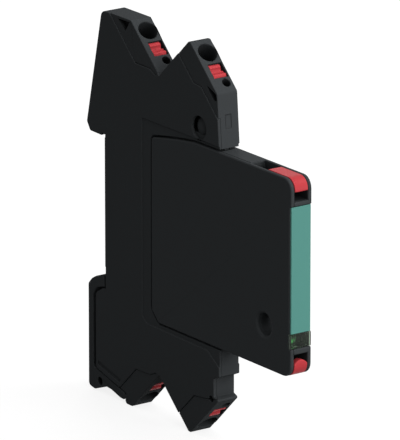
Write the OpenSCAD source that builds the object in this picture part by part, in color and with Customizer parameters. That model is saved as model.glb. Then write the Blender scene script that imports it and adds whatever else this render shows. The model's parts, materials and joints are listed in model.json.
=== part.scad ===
// Slim rail-mounted surge protector: a wiring base that snaps on a 35 mm rail and a plug-in module.
// X runs across the rail, -Y is the labelled front and +Z is up. The origin is where the
// rail's centre line meets the seat of the base.
// Profiles are drawn as [forward, up] points: forward is -Y and up is Z.

/* [Housing] */
// Width of the base along the rail
housing_w = 6.2; // [6:0.1:7]
// Thickness of the far side wall of the base
far_wall_t = 0.9; // [0.7:0.05:1.2]
// Thickness of the near side cover of the base
cover_t = 0.8; // [0.6:0.05:1]
// Thickness of the rim between the two sides
rim_t = 1.2; // [0.9:0.05:1.5]
// Distance from the rail seat to the front of the base
front_f = 48; // [46:0.1:52]
// Height of the upper tower peaks above the rail centre
peak_top_z = 48.8; // [47:0.1:50]
// Depth of the lower tower peaks below the rail centre
peak_bottom_z = 49.8; // [48:0.1:50.5]
// How far the back of the base starts behind the rail seat at the top
back_top_f = 1.1; // [0.6:0.1:2]
// How far the back of the base reaches behind the rail seat above the hook
back_f = 7.6; // [7:0.05:8.5]
// Height of the widest point of the back above the rail centre
back_z = 19.2; // [18.8:0.1:20]
// How far the top of the front face leans back from its foot
front_lean = 1.1; // [0:0.1:1.4]

/* [Rail mounting] */
// Height of the slot that takes the rail
rail_slot_h = 35.3; // [35.1:0.1:35.8]
// Gap behind the seat for the rail's flange
flange_gap = 1.3; // [1.2:0.05:1.6]
// How far the fixed hook reaches down behind the flange
hook_grip = 0.7; // [0.5:0.05:1]
// Swing of the latch that frees the rail
latch_swing = 5; // [3:0.5:6]
// Distance from the rail seat back to the latch bar's outer face
latch_back_f = 7.45; // [7.2:0.05:7.7]
// Thickness of the latch bar
latch_bar_t = 2; // [1.6:0.1:2.2]
// Radius of the hole for a screwdriver tip in the latch
latch_hole_r = 1; // [0.8:0.05:1.2]

/* [Terminals] */
// Distance from the rail seat to the rear peaks
rear_peak_f = 11.1; // [10.9:0.1:12.5]
// Distance between the rear and front peaks
tower_pitch = 24.8; // [23.6:0.1:25]
// Slope of the terminal faces
face_angle = 43.5; // [42:0.5:45]
// Slope of the back of the front towers
back_angle = 43; // [42:0.5:45]
// Length of the small flat on the front peaks
peak_flat = 0.9; // [0.6:0.1:1.2]
// Depth of the solid block under each terminal face
block_d = 6; // [5.6:0.1:6.4]
// How far the block's near side lies below the cover's outer face
block_recess = 0.2; // [0.1:0.05:0.3]
// Radius of the wire entry
wire_r = 2.45; // [2.2:0.05:2.5]
// Place of the wire entry along the face
wire_s = 3.5; // [3.4:0.05:3.7]
// Sideways place of the wire entry and the pusher
terminal_x = 0.4; // [0.3:0.05:0.45]
// Radius of the test probe hole
test_r = 1.1; // [0.95:0.05:1.2]
// Place of the test probe hole along the face
test_s = 12.5; // [12.3:0.05:12.8]
// How far the test probe hole reaches into the far side wall
test_bite = 0.15; // [0.1:0.05:0.3]
// Width of the release pusher across the terminal
pusher_w = 3.7; // [3.4:0.1:3.8]
// Length of the release pusher along the face
pusher_len = 3.9; // [3.6:0.1:4]
// Place of the pusher's middle along the face
pusher_s = 8.8; // [8.7:0.05:8.9]
// Travel of the release pusher
pusher_travel = 1.5; // [1:0.1:1.5]

/* [Module] */
// Width of the plug-in module
module_w = 6.1; // [5.9:0.05:6.2]
// Thickness of the module's side walls
module_wall_t = 0.9; // [0.8:0.05:0.95]
// Thickness of the rim round the module
module_rim_t = 1.4; // [1.2:0.05:1.6]
// Distance from the rail seat to the module's rear edge
module_rear_f = 19.8; // [19.6:0.1:20.4]
// Distance from the rail seat to the module's front face
module_front_f = 77.1; // [75:0.1:80]
// Height of the module's top edge above the rail centre
module_top_z = 24.2; // [23.8:0.1:24.4]
// Depth of the module's bottom edge below the rail centre
module_bottom_z = 25.2; // [24.8:0.1:25.4]
// Radius of the module's front corners
module_corner_r = 3; // [2.4:0.1:3.2]
// Gap between the module and the bay it plugs into
bay_gap = 0.55; // [0.45:0.05:0.65]
// Radius of the round hole through the module
side_hole_r = 2.8; // [2.4:0.05:3]
// Distance from the rail seat to the round hole
side_hole_f = 66.2; // [65.8:0.1:66.8]
// Depth of the round hole below the rail centre
side_hole_z = 14.4; // [14.2:0.1:14.6]
// Thickness of the circuit board
board_t = 1; // [0.8:0.1:1.2]

/* [Levers] */
// Width of the release levers
lever_w = 3.8; // [3.4:0.05:3.9]
// Length of each lever along the module's edge
lever_len = 11.4; // [11:0.1:11.8]
// How far each lever reaches along the module's front
lever_nose = 3.3; // [2.8:0.1:3.4]
// Opening angle of the levers
lever_swing = 40; // [20:5:45]
// Radius of the levers' pivot pins
pivot_r = 0.8; // [0.6:0.05:0.9]

/* [Label and window] */
// Width of the label strip
label_w = 5.7; // [5.2:0.1:5.8]
// Thickness of the label strip
label_t = 0.5; // [0.3:0.05:0.6]
// Height of the status window
window_h = 3.7; // [3:0.1:3.9]
// Height of the frame above the label
frame_top_h = 6.9; // [6.6:0.1:7.2]
// Height of the frame below the window
frame_bottom_h = 7.2; // [7:0.1:7.4]

/* [Contacts] */
// Thickness of the current bars
bar_t = 0.8; // [0.6:0.05:1]
// Thickness of the contact blades
blade_t = 0.8; // [0.6:0.05:1]
// Width of the contact blades
blade_w = 2.2; // [1.8:0.1:2.4]
// Thickness of the clamp springs' steel
spring_t = 0.4; // [0.3:0.05:0.5]
// Width of the clamp springs
spring_w = 3.4; // [2.8:0.1:3.6]

/* [Hidden] */
$fn = 48;

// General clearances
seat_gap = 0.1;
slide_gap = 0.15;
running_gap = 0.05;
weld = 0.05;
through = 20;

// Widths: the near side is -X and the far side is +X
half_w = housing_w / 2;
near_in_x = -half_w + cover_t;
far_in_x = half_w - far_wall_t;
block_near_x = -half_w + block_recess;
test_x = far_in_x + test_bite - test_r;
module_half_w = module_w / 2;
module_in_x = module_half_w - module_wall_t;

// Rail seat and latch
hook_z = rail_slot_h / 2;
hook_low_z = hook_z - hook_grip;
seat_relief = 0.2;
seat_high_z = hook_low_z - 0.25;
seat_low_z = 16.5;
foot_back_f = -4.1;
foot_top_z = -22.3;
foot_corner_z = -43.6;
foot_slope = 15;
foot_end_f = 8.2;
function foot_z(f) = foot_corner_z - (f - foot_back_f) * tan(foot_slope);
latch_pivot_r = 0.8;
latch_pivot = [foot_end_f + 0.45, foot_z(foot_end_f) - 1.1];

// Towers: each terminal has a face that runs down from its peak
front_peak_f = rear_peak_f + tower_pitch;
apex_f = (rear_peak_f * tan(face_angle) + (front_peak_f - peak_flat) * tan(back_angle))
    / (tan(face_angle) + tan(back_angle));
apex_drop = (apex_f - rear_peak_f) * tan(face_angle);
face_len = (apex_f - rear_peak_f) / cos(face_angle);
ridge_f = (front_peak_f * tan(face_angle) + (front_peak_f - peak_flat) * tan(back_angle))
    / (tan(face_angle) + tan(back_angle));
ridge_rise = (front_peak_f - ridge_f) * tan(face_angle);
corner_f = front_f - front_lean;
corner_drop = (corner_f - front_peak_f) * tan(face_angle);

// The step in the lower front
lip_f = front_f - 0.8;
setback_f = front_f - 2.2;
step_z = 32.5;
lip_z = 38.1;
lip_drop = (lip_f - front_peak_f) * tan(face_angle);
lip_hole = [lip_f - 2.6, -lip_z - 0.8];
lip_hole_r = 0.8;

// Terminals: name order is top rear, top front, bottom rear, bottom front
TOP_REAR = 0;
TOP_FRONT = 1;
BOTTOM_REAR = 2;
BOTTOM_FRONT = 3;
TERMINALS = [TOP_REAR, TOP_FRONT, BOTTOM_REAR, BOTTOM_FRONT];
function is_front(t) = t % 2 == 1;
function side_of(t) = t < BOTTOM_REAR ? 1 : -1;
function peak_f(t) = is_front(t) ? front_peak_f : rear_peak_f;
function peak_z(t) = t < BOTTOM_REAR ? peak_top_z : peak_bottom_z;
// A place [s along the face, d under it] as a [forward, up] point
function on_face(t, s, d) = [
    peak_f(t) + s * cos(face_angle) - d * sin(face_angle),
    side_of(t) * (peak_z(t) - s * sin(face_angle) - d * cos(face_angle))
];

// The block under each face: full depth, then a taper to its thin end
// Each row: where the taper starts and ends, and the depths there and at the thin end
BLOCK_TAPERS = [[8.4, 12.8, 2, 1], [7.6, 10.2, 4.05, 4.05], [8.4, 12.8, 2, 1], [8, 11.8, 3.1, 0.3]];
function end_s(t) = t == TOP_FRONT ? face_len + 6 : t == BOTTOM_FRONT ? 16.4 : face_len - 0.8;

// Contacts between the base and the module
blade_zs = [16, 9, -9, -16];
earth_z = 0;
fork_tip_f = module_rear_f - bay_gap - 2.55;
fork_root_f = fork_tip_f - 5;
fork_back_f = fork_root_f - 3;
tine_h = 1.15;
fork_gap = blade_t / 2 + running_gap;
blade_tip_f = fork_root_f + 0.7;
bay_rim_t = 2.1;

// The strip the wire is clamped on, the web behind it and the clamp spring's bend
leg_s = max(wire_s - wire_r + seat_gap, rim_t + bar_t - peak_flat);
leg_end_d = 14;
web_w = 2;
rear_route_f = rim_t + 3;
front_route_f = rear_route_f + 4.4;
post_z = 22;
web_post_f = 18;
web_low = [front_route_f + 3.2, 29];
web_high = [apex_f + 0.2, 31.6];
function web_point(side, f) = [
    f,
    side * (web_low.y + (f - web_low.x) * (web_high.y - web_low.y) / (web_high.x - web_low.x))
];
loop_r = 1.4;
loop_s = pusher_s + 1.4;
loop_d = block_d + 2.8;

// Lever pockets, measured from the module's top or bottom edge and its front
pocket_len = 17.5;
pocket_d = 5.7;
pocket_x = lever_w / 2 + seat_gap;
cheek_x = module_in_x;
pivot_from_front = 8.8;
pivot_d = 2.8;
pivot_end_x = module_half_w - 0.45;
boss_r = 1.9;
lever_t = 2.3;
lever_front_t = 1.8;
lever_corner_r = min(module_corner_r, lever_nose - 0.4);

// Front of the module
window_z = frame_bottom_h - module_bottom_z + window_h / 2;
window_d = 2.5;
window_lip_d = 0.8;
window_body_x = module_in_x;
label_low_z = window_z + window_h / 2 + seat_gap;
label_h = module_top_z - frame_top_h - label_low_z;
label_seat_f = module_front_f - seat_gap - label_t;

// Circuit board
board_rear_f = module_rear_f + 2.3;
board_front_f = module_front_f - 3;
board_top_z = 20;
board_bottom_z = 22.4;

// Assembly boss that joins the two halves of the base
joint_boss_f = front_f - 8.3;
joint_boss_z = 28.4;
joint_boss_r = 2.5;
joint_hole_r = 2.95;
joint_dome_r = 3.6;

black = "#232527";
red = "#c8242b";
copper = "#c9a36a";
steel = "#b9bcc0";
teal = "#58ad9d";

// Geometry helpers
function unit(v) = v / norm(v);
function left_of(v) = [-v.y, v.x];
function mitre(a, b, c, t) =
    let (n1 = left_of(unit(b - a)), n2 = left_of(unit(c - b)))
    b + (n1 + n2) * t / (1 + n1 * n2);
function xy(p) = [p.x, p.y];
// A closed clockwise outline moved inwards by t
function inset(pts, t) =
    let (n = len(pts))
    [for (i = [0:n - 1])
        let (m = mitre(xy(pts[(i + n - 1) % n]), xy(pts[i]), xy(pts[(i + 1) % n]), -t))
        [m.x, m.y, max(pts[i].z - t, 0)]];
// An arc of radius r in the corner at b
function fillet(a, b, c, r) =
    let (
        u = unit(a - b),
        v = unit(c - b),
        half = acos(u * v) / 2,
        start_p = b + u * r / tan(half),
        o = b + unit(u + v) * r / sin(half),
        start = atan2(start_p.y - o.y, start_p.x - o.x),
        turn = (180 - 2 * half) * sign(cross(b - a, c - b)),
        steps = max(2, ceil(abs(turn) / 15))
    )
    [for (k = [0:steps]) o + r * [cos(start + turn * k / steps), sin(start + turn * k / steps)]];
// An outline of [x, y, corner radius] points with its corners rounded
function rounded(pts) =
    let (n = len(pts))
    [for (i = [0:n - 1])
        each pts[i].z > 0
            ? fillet(xy(pts[(i + n - 1) % n]), xy(pts[i]), xy(pts[(i + 1) % n]), pts[i].z)
            : [xy(pts[i])]];
// A strip of width w along an open path
function strip_side(path, t) =
    let (n = len(path))
    [for (i = [0:n - 1])
        i == 0 ? path[0] + left_of(unit(path[1] - path[0])) * t
        : i == n - 1 ? path[i] + left_of(unit(path[i] - path[i - 1])) * t
        : mitre(path[i - 1], path[i], path[i + 1], t)];
function backwards(list) = [for (i = [len(list) - 1:-1:0]) list[i]];
function strip(path, w) = concat(strip_side(path, w / 2), backwards(strip_side(path, -w / 2)));
function arc_points(o, r, from, to, steps) =
    [for (k = [0:steps]) let (a = from + (to - from) * k / steps) o + r * [cos(a), sin(a)]];

// A profile of [forward, up] points, solid from x0 to x1
module slab(x0, x1) {
    translate([x1, 0, 0]) rotate([90, 0, -90]) linear_extrude(x1 - x0) children();
}

// A hole or pin along X at a [forward, up] point
module cross_cylinder(p, r, x0, x1) {
    translate([x0, -p.x, p.y]) rotate([0, 90, 0]) cylinder(r = r, h = x1 - x0);
}

// Puts a child drawn as x along the face, y across the terminal and z outwards onto terminal t
module at_terminal(t) {
    mirror([0, 0, side_of(t) > 0 ? 0 : 1])
        translate([0, -peak_f(t), peak_z(t)])
            rotate([0, face_angle, -90])
                children();
}

// A profile of [along the face, depth] points on terminal t, solid across from x0 to x1
module terminal_slab(t, x0, x1, pts) {
    slab(x0, x1) polygon([for (p = pts) on_face(t, p.x, p.y)]);
}

// Outer outline of the base, clockwise from the rear of the top
function tower_points(pz, side, start_f, start_r) = [
    [start_f, side * pz, start_r],
    [rear_peak_f, side * pz, 0.3],
    [apex_f, side * (pz - apex_drop), 0.3],
    [front_peak_f - peak_flat, side * pz, 0.2],
    [front_peak_f, side * pz, 0.2]
];
base_points = concat(
    tower_points(peak_top_z, 1, -back_top_f, 1.8),
    [
        [corner_f, peak_top_z - corner_drop, 1],
        [front_f, module_top_z, 0],
        [front_f, -step_z, 0.3],
        [setback_f, -step_z - 1, 0.3],
        [setback_f, -lip_z, 0.2],
        [lip_f, -lip_z - 0.5, 0],
        [lip_f, lip_drop - peak_bottom_z, 0.2]
    ],
    backwards(tower_points(peak_bottom_z, -1, foot_end_f, 1)),
    [
        [foot_end_f, foot_z(foot_end_f), 0],
        [foot_back_f, foot_corner_z, 0.8],
        [foot_back_f, foot_top_z - 1.9, 1.5],
        [foot_back_f + 2.9, foot_top_z - 0.1, 1],
        [seat_relief, foot_top_z, 0.3],
        [seat_relief, -seat_low_z, 0],
        [0, -seat_low_z, 0],
        [0, seat_high_z, 0],
        [seat_relief, seat_high_z, 0],
        [seat_relief, hook_z, 0],
        [-flange_gap, hook_z, 0],
        [-flange_gap, hook_low_z, 0.2],
        [-back_f + 1.4, hook_low_z + 0.1, 0.8],
        [-back_f, back_z, 0.8]
    ]
);
// The same outline without its small steps, which the hollow inside follows
core_points = [
    [-back_top_f, peak_top_z, 0],
    [rear_peak_f, peak_top_z, 0],
    [apex_f, peak_top_z - apex_drop, 0],
    [ridge_f, peak_top_z + ridge_rise, 0],
    [corner_f, peak_top_z - corner_drop, 0],
    [front_f, module_top_z, 0],
    [front_f, -step_z + rim_t, 0],
    [setback_f, -step_z, 0],
    [setback_f, (setback_f - front_peak_f) * tan(face_angle) - peak_bottom_z, 0],
    [ridge_f, -peak_bottom_z - ridge_rise, 0],
    [apex_f, apex_drop - peak_bottom_z, 0],
    [rear_peak_f, -peak_bottom_z, 0],
    [foot_end_f, -peak_bottom_z, 0],
    [foot_end_f, foot_z(foot_end_f), 0],
    [foot_back_f, foot_corner_z, 0],
    [foot_back_f, foot_top_z - 1, 0],
    [seat_relief, foot_top_z - 0.6, 0],
    [seat_relief, hook_low_z, 0],
    [-back_f + 1.4, hook_low_z, 0],
    [-back_f, back_z, 0]
];

// Outline of the module, clockwise from the rear of the top
module_chamfer = 2.8;
module_points = [
    [module_rear_f, module_top_z - 2.8, 1],
    [module_rear_f + 10, module_top_z - 1, 6],
    [module_rear_f + 18, module_top_z, 6],
    [module_front_f, module_top_z, module_corner_r],
    [module_front_f, -module_bottom_z, module_corner_r],
    [module_rear_f + module_chamfer, -module_bottom_z, 1.2],
    [module_rear_f, module_chamfer - module_bottom_z, 1.2]
];
bay_points = inset(module_points, -bay_gap);

// The shallow step round the bay
band_points = [
    [module_rear_f - 4, module_top_z + 1.2, 0.4],
    [module_front_f, module_top_z + 1.2, 0],
    [module_front_f, -module_bottom_z - 7, 0],
    [front_f + 3, -module_bottom_z - 7, 0],
    [front_f - 5, -module_bottom_z - 1.7, 1.5],
    [module_rear_f - 2.2, -module_bottom_z - 1.4, 1],
    [module_rear_f - 4, 0.3 - module_bottom_z, 1]
];
band_d = 0.25;

module base_outline() {
    difference() {
        polygon(rounded(base_points));
        polygon(rounded(bay_points));
    }
}

// Area of a terminal block on the side of the base, grown by g
module block_zone(t, g = 0) {
    taper = BLOCK_TAPERS[t];
    polygon([
        for (p = [
            [-9, -2], [-9, block_d + g], [taper[0] + g / 2, block_d + g],
            [taper[1] + g / 2, taper[2] + g], [end_s(t), taper[3] + g], [end_s(t), -2]
        ])
            on_face(t, p.x, p.y)
    ]);
}

module block_zones(g = 0) {
    for (t = TERMINALS)
        block_zone(t, g);
}

// Hollow inside the base
module base_hollow() {
    difference() {
        polygon([for (p = inset(core_points, rim_t)) xy(p)]);
        polygon([for (p = inset(bay_points, -bay_rim_t)) xy(p)]);
        block_zones();
    }
}

// Places of the posts that carry the current bars
bar_posts = [for (side = [1, -1]) each [
    [rear_route_f, side * post_z], [front_route_f, side * post_z], web_point(side, web_post_f)
]];

module base_housing() color(black) {
    difference() {
        union() {
            slab(far_in_x, half_w)
                base_outline();
            slab(near_in_x, far_in_x + weld)
                difference() {
                    base_outline();
                    base_hollow();
                }
            slab(block_near_x, near_in_x + weld)
                intersection() {
                    polygon(rounded(base_points));
                    block_zones();
                }
            terminal_bosses();
            base_ribs();
        }
        for (t = TERMINALS)
            at_terminal(t)
                terminal_cuts(t);
        slab(half_w - band_d, half_w + 1)
            polygon(rounded(band_points));
        block_pockets();
        contact_slots();
        marker_seat();
        cross_cylinder(latch_pivot, latch_pivot_r + running_gap, -half_w - 1, far_in_x);
        cross_cylinder(lip_hole, lip_hole_r, -half_w - 1, -half_w + 1.6);
    }
}

// Round guides for the test probe, and ribs that back the clamp springs
probe_guide_d = 5;
probe_wall_t = 0.7;
rib_s = loop_s + loop_r + spring_t / 2 + seat_gap;
rib_t = 1;
module terminal_bosses() {
    for (t = TERMINALS) {
        intersection() {
            at_terminal(t)
                translate([test_s, test_x, -probe_guide_d])
                    cylinder(r = test_r + probe_wall_t, h = probe_guide_d);
            slab(near_in_x, far_in_x + weld)
                polygon(rounded(base_points));
        }
        terminal_slab(t, near_in_x + seat_gap, far_in_x + weld, [
            [rib_s, block_d + 0.6], [rib_s + rib_t, block_d + 0.6],
            [rib_s + rib_t, leg_end_d - 0.9], [rib_s, leg_end_d - 0.9]
        ]);
    }
}

entry_chamfer = 0.2;
pusher_shift = 0.2;
pusher_near_x = terminal_x + pusher_shift - pusher_w / 2;
pusher_back_x = pusher_near_x + pusher_w + 0.25;
module terminal_cuts(t) {
    translate([wire_s, terminal_x, -block_d - 0.3])
        cylinder(r = wire_r, h = block_d + 1);
    translate([wire_s, terminal_x, -entry_chamfer])
        cylinder(r1 = wire_r, r2 = wire_r + entry_chamfer, h = entry_chamfer + 0.01);
    translate([test_s, test_x, -probe_guide_d - 0.5])
        cylinder(r = test_r, h = probe_guide_d + 1);
    translate([pusher_s - pusher_len / 2 - seat_gap, pusher_near_x - seat_gap, -block_d - 1])
        cube([pusher_len + 2 * seat_gap, pusher_back_x - pusher_near_x + seat_gap, block_d + 2]);
}

// Blind pockets in the near side of the upper blocks, where the mould is cored out
module block_pockets() {
    slab(-half_w - 1, -half_w + 1.7) {
        polygon([
            [rear_peak_f - 5.4, peak_top_z - 0.7],
            [rear_peak_f - 0.6, peak_top_z - 0.6],
            [rear_peak_f - 2.4, peak_top_z - 3.2]
        ]);
        polygon([for (p = [[11.5, 1.9], [14.9, 0.5], [16.2, 1.3], [15.6, 2.4], [13, 2.3]])
            on_face(TOP_FRONT, p.x, p.y)]);
    }
}

// Shallow seat for a marker in the upper front of the base
marker_z = 31.3;
marker_h = 3.4;
marker_d = 0.15;
function front_at(z) = front_f - front_lean * (z - module_top_z) / (peak_top_z - corner_drop - module_top_z);
module marker_seat() {
    slab(-0.75, 1)
        polygon([for (p = [[-marker_d, -1], [-marker_d, 1], [1, 1], [1, -1]])
            [front_at(marker_z + p.y * marker_h / 2) + p.x, marker_z + p.y * marker_h / 2]]);
}

// Posts and walls that carry what lies inside the base
module base_ribs() {
    for (p = bar_posts)
        cross_cylinder(p, 0.9, bar_t / 2, far_in_x + weld);
    joint_boss();
    bay_tongues();
}

// Boss behind the round hole of the cover, with a domed end
dome_end_x = near_in_x - 0.35;
module joint_boss() {
    dome_a = asin(joint_boss_r / joint_dome_r);
    translate([dome_end_x, -joint_boss_f, joint_boss_z])
        rotate([0, 90, 0])
            rotate_extrude()
                polygon(concat(
                    [for (k = [0:6]) joint_dome_r * [sin(dome_a * k / 6), 1 - cos(dome_a * k / 6)]],
                    [[joint_boss_r, far_in_x + weld - dome_end_x], [0, far_in_x + weld - dome_end_x]]
                ));
}

// Tongues on both arms that guide the module
tongue_x = 0.7;
tongue_h = bay_gap + 0.65;
tongue_start_f = module_rear_f + 19;
module bay_tongues() {
    slab(-tongue_x, tongue_x) {
        translate([tongue_start_f, module_top_z + bay_gap - tongue_h])
            square([front_f - 1 - tongue_start_f, tongue_h + 0.2]);
        translate([tongue_start_f, -module_bottom_z - bay_gap - 0.2])
            square([front_f - 1 - tongue_start_f, tongue_h + 0.2]);
    }
}

// Slots in the bay's rear wall for the blades, and the window for the earth contact
module contact_slots() {
    for (z = concat(blade_zs, [earth_z]))
        slab(-blade_w / 2 - 0.3, blade_w / 2 + 0.3)
            translate([fork_tip_f - 0.5, z - blade_t / 2 - 0.35])
                square([module_rear_f - fork_tip_f + 1, blade_t + 0.7]);
    slab(-1.5, 1.5)
        translate([-1, earth_pad_low_z - seat_gap])
            square([rim_t + 2, earth_pad_h + 2 * seat_gap]);
}

module base_cover() color(black) {
    difference() {
        slab(-half_w, near_in_x)
            difference() {
                base_outline();
                block_zones(seat_gap);
            }
        slab(-half_w - 1, -half_w + band_d)
            polygon(rounded(band_points));
        cross_cylinder([joint_boss_f, joint_boss_z], joint_hole_r, -half_w - 1, near_in_x + 1);
        slab(-half_w - 1, -half_w + 0.3)
            polygon(strip([
                [foot_back_f + 0.8, foot_z(foot_back_f + 0.8) + 1.7],
                [foot_end_f - 2, foot_z(foot_end_f - 2) + 1.9]
            ], 0.9));
        cross_cylinder(lip_hole, lip_hole_r, -half_w - 1, near_in_x + 1);
    }
}

// The latch swings back on the bead at the end of its arm to free the rail
latch_half_w = half_w - slide_gap;
bar_inner_f = latch_bar_t - latch_back_f;
arm_gap = 0.4;
arm_end_f = foot_end_f - arm_gap;
function arm_z(f) = foot_z(f) - arm_gap;
module rail_latch() color(black) {
    difference() {
        union() {
            slab(-latch_half_w, latch_half_w)
                polygon(rounded(latch_points));
            latch_lip();
            latch_bead();
        }
        cross_cylinder([foot_back_f + 1.5, foot_corner_z - 3.3], latch_hole_r, -half_w - 1, half_w + 1);
    }
}
// Outline of toe, bar and arm, clockwise from the tip of the toe
latch_points = [
    [-0.7, foot_top_z + 3.6, 0.4],
    [-0.45, foot_top_z + 0.35, 0.2],
    [-1.3, foot_top_z + 0.3, 0.8],
    [foot_back_f, foot_top_z - 0.6, 1.2],
    [bar_inner_f, foot_top_z - 2.6, 1.5],
    [bar_inner_f, arm_z(bar_inner_f), 0.8],
    [arm_end_f, arm_z(arm_end_f), 0.2],
    [arm_end_f, foot_corner_z - 5.4, 0.4],
    [arm_end_f - 1.6, foot_corner_z - 5.3, 1],
    [2.2, foot_corner_z - 4.2, 1],
    [0.3, foot_corner_z - 4, 1],
    [foot_back_f - 0.8, foot_corner_z - 5.9, 1.2],
    [-latch_back_f, foot_corner_z - 5.4, 1.1],
    [-latch_back_f, foot_top_z - 0.2, 1],
    [-5.9, foot_top_z + 1.4, 1],
    [foot_back_f, foot_top_z + 2.4, 1]
];

// Lip that holds the rail's lower flange
module latch_lip() {
    slab(-0.4, latch_half_w)
        polygon([
            [-flange_gap - 2, foot_top_z + 2.4], [-flange_gap - 2, foot_top_z + 4.7],
            [-flange_gap - 0.5, foot_top_z + 5.4], [-flange_gap, foot_top_z + 5.3],
            [-flange_gap, foot_top_z + 3]
        ]);
}

latch_neck_h = 1;
// Round bead that turns in the socket of the lower rear tower, and the neck that joins it
module latch_bead() {
    cross_cylinder(latch_pivot, latch_pivot_r, block_near_x + seat_gap, far_in_x - seat_gap);
    slab(block_near_x + seat_gap, far_in_x - seat_gap)
        translate([arm_end_f - 0.5, latch_pivot.y - latch_neck_h / 2])
            square([latch_pivot.x - arm_end_f + 0.5, latch_neck_h]);
}

// Two tines that grip a blade at height z
module fork(z) {
    slab(-bar_t / 2, bar_t / 2)
        polygon([
            [fork_back_f, z + fork_gap + tine_h], [fork_tip_f - 1, z + fork_gap + tine_h],
            [fork_tip_f, z + fork_gap + tine_h * 0.6], [fork_tip_f, z + fork_gap + 0.35],
            [fork_tip_f - 0.8, z + fork_gap], [fork_root_f, z + fork_gap],
            [fork_root_f, z - fork_gap], [fork_tip_f - 0.8, z - fork_gap],
            [fork_tip_f, z - fork_gap - 0.35], [fork_tip_f, z - fork_gap - tine_h * 0.6],
            [fork_tip_f - 1, z - fork_gap - tine_h], [fork_back_f, z - fork_gap - tine_h]
        ]);
}

// Path of the web that leads from the clamped strip to the fork
function web_path(t) =
    let (side = side_of(t))
    concat(
        [on_face(t, leg_s, leg_end_d - 0.2), on_face(t, leg_s, leg_end_d + 1.2)],
        is_front(t)
            ? [
                [web_high.x, side * web_high.y], [web_low.x, side * web_low.y],
                [front_route_f, side * (web_low.y - 2.4)], [front_route_f, side * blade_zs[0]]
            ]
            : [
                [rear_route_f, side * (web_high.y - 0.6)], [rear_route_f, side * (blade_zs[1] + 1.2)],
                [rear_route_f + 1, side * blade_zs[1]], [fork_back_f + 0.5, side * blade_zs[1]]
            ]
    );
module current_bar(t) color(copper) {
    terminal_slab(t, -spring_w / 2, spring_w / 2, [
        [leg_s - bar_t, block_d + 0.3], [leg_s, block_d + 0.3],
        [leg_s, leg_end_d], [leg_s - bar_t, leg_end_d]
    ]);
    slab(-bar_t / 2, bar_t / 2)
        polygon(strip(web_path(t), web_w));
    fork(side_of(t) * (is_front(t) ? blade_zs[0] : blade_zs[1]));
}

// Earth contact that touches the rail through a window in the seat
earth_pad_h = 4.6;
earth_pad_low_z = -6.8;
earth_bend_f = 5.4;
earth_strip_w = 1.8;
module earth_contact() color(copper) {
    slab(-1.3, 1.3)
        translate([0.05, earth_pad_low_z])
            square([0.8, earth_pad_h]);
    slab(-bar_t / 2, bar_t / 2)
        polygon(strip([
            [0.5, earth_pad_low_z + earth_pad_h / 2], [earth_bend_f, earth_pad_low_z + earth_pad_h / 2],
            [fork_back_f + 0.6, earth_z]
        ], earth_strip_w));
    fork(earth_z);
}

// Leaf spring that clamps the wire: a fixed leg, a bend and a slanted clamping leg
module clamp_spring(t) color(steel) {
    path = concat(
        [[loop_s + loop_r, leg_end_d - 0.6]],
        arc_points([loop_s, loop_d], loop_r, 0, -180, 10),
        [[leg_s + 0.35, leg_end_d - 1.1]]
    );
    terminal_slab(t, -spring_w / 2, spring_w / 2, strip(path, spring_t));
}

// Red pusher: a head with a driver notch, a stem that presses the spring and a lug that keeps it in
head_d = block_d - 0.8;
stem_d = block_d + 2.8;
lobe_cut = 0.5;
notch_r = 0.95;
module pusher(t) color(red) {
    s0 = pusher_s - pusher_len / 2;
    s1 = pusher_s + pusher_len / 2;
    lug_s = wire_s + wire_r + 0.05;
    lug_d = block_d + 0.2;
    difference() {
        union() {
            terminal_slab(t, pusher_near_x, pusher_near_x + pusher_w, [
                [s0, 0.5], [s0 + 0.5, 0.1], [s1 - 0.5, 0.1], [s1, 0.5], [s1, head_d], [s0, head_d]
            ]);
            terminal_slab(t, pusher_near_x, far_in_x - slide_gap, [
                [s0, head_d - weld], [s0 + 1, head_d - weld], [s0 + 1, stem_d - 0.8],
                [s0 + 0.6, stem_d], [lug_s, stem_d], [lug_s, lug_d], [s0, lug_d]
            ]);
        }
        at_terminal(t)
            translate([s0 - 1, pusher_near_x + pusher_w - lobe_cut, -1.6])
                cube([pusher_len / 2 + 1, 2, 3]);
        at_terminal(t)
            translate([pusher_s + 0.1, 0, 0.3])
                rotate([-90, 0, 0])
                    cylinder(r = notch_r, h = 3 * pusher_w, center = true);
    }
}

// A place measured from the module's front and from its top (side 1) or bottom (side -1) edge
function edge_point(side, from_front, depth) = [
    module_front_f - from_front,
    side > 0 ? module_top_z - depth : depth - module_bottom_z
];
function edge_profile(side, pts) = [for (p = pts) edge_point(side, p.x, p.y)];
function edge_rounded(side, pts) =
    rounded([for (p = pts) let (q = edge_point(side, p.x, p.y)) [q.x, q.y, p.z]]);

module lever_pocket(side) {
    polygon(edge_profile(side, [
        [pocket_len, -1], [pocket_len, pocket_d - 2.4], [pocket_len - 2.4, pocket_d],
        [-1, pocket_d], [-1, -1]
    ]));
}

// Wall of the pocket towards the circuit board
module pocket_wall(side) {
    polygon(edge_profile(side, [
        [pocket_len + 0.8, 0.2], [pocket_len + 0.8, pocket_d - 2.1],
        [pocket_len - 2.1, pocket_d + 0.9], [0.4, pocket_d + 0.9], [0.4, 0.2]
    ]));
}

module module_outline() {
    polygon(rounded(module_points));
}

module module_hollow() {
    polygon([for (p = inset(module_points, module_rim_t)) xy(p)]);
}

board_posts = [
    for (f = [board_rear_f + 7.7, board_rear_f + 29.7])
        each [[f, board_top_z - 8], [f, 7.4 - board_bottom_z]]
];
guide_depth = 0.85;

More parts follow.
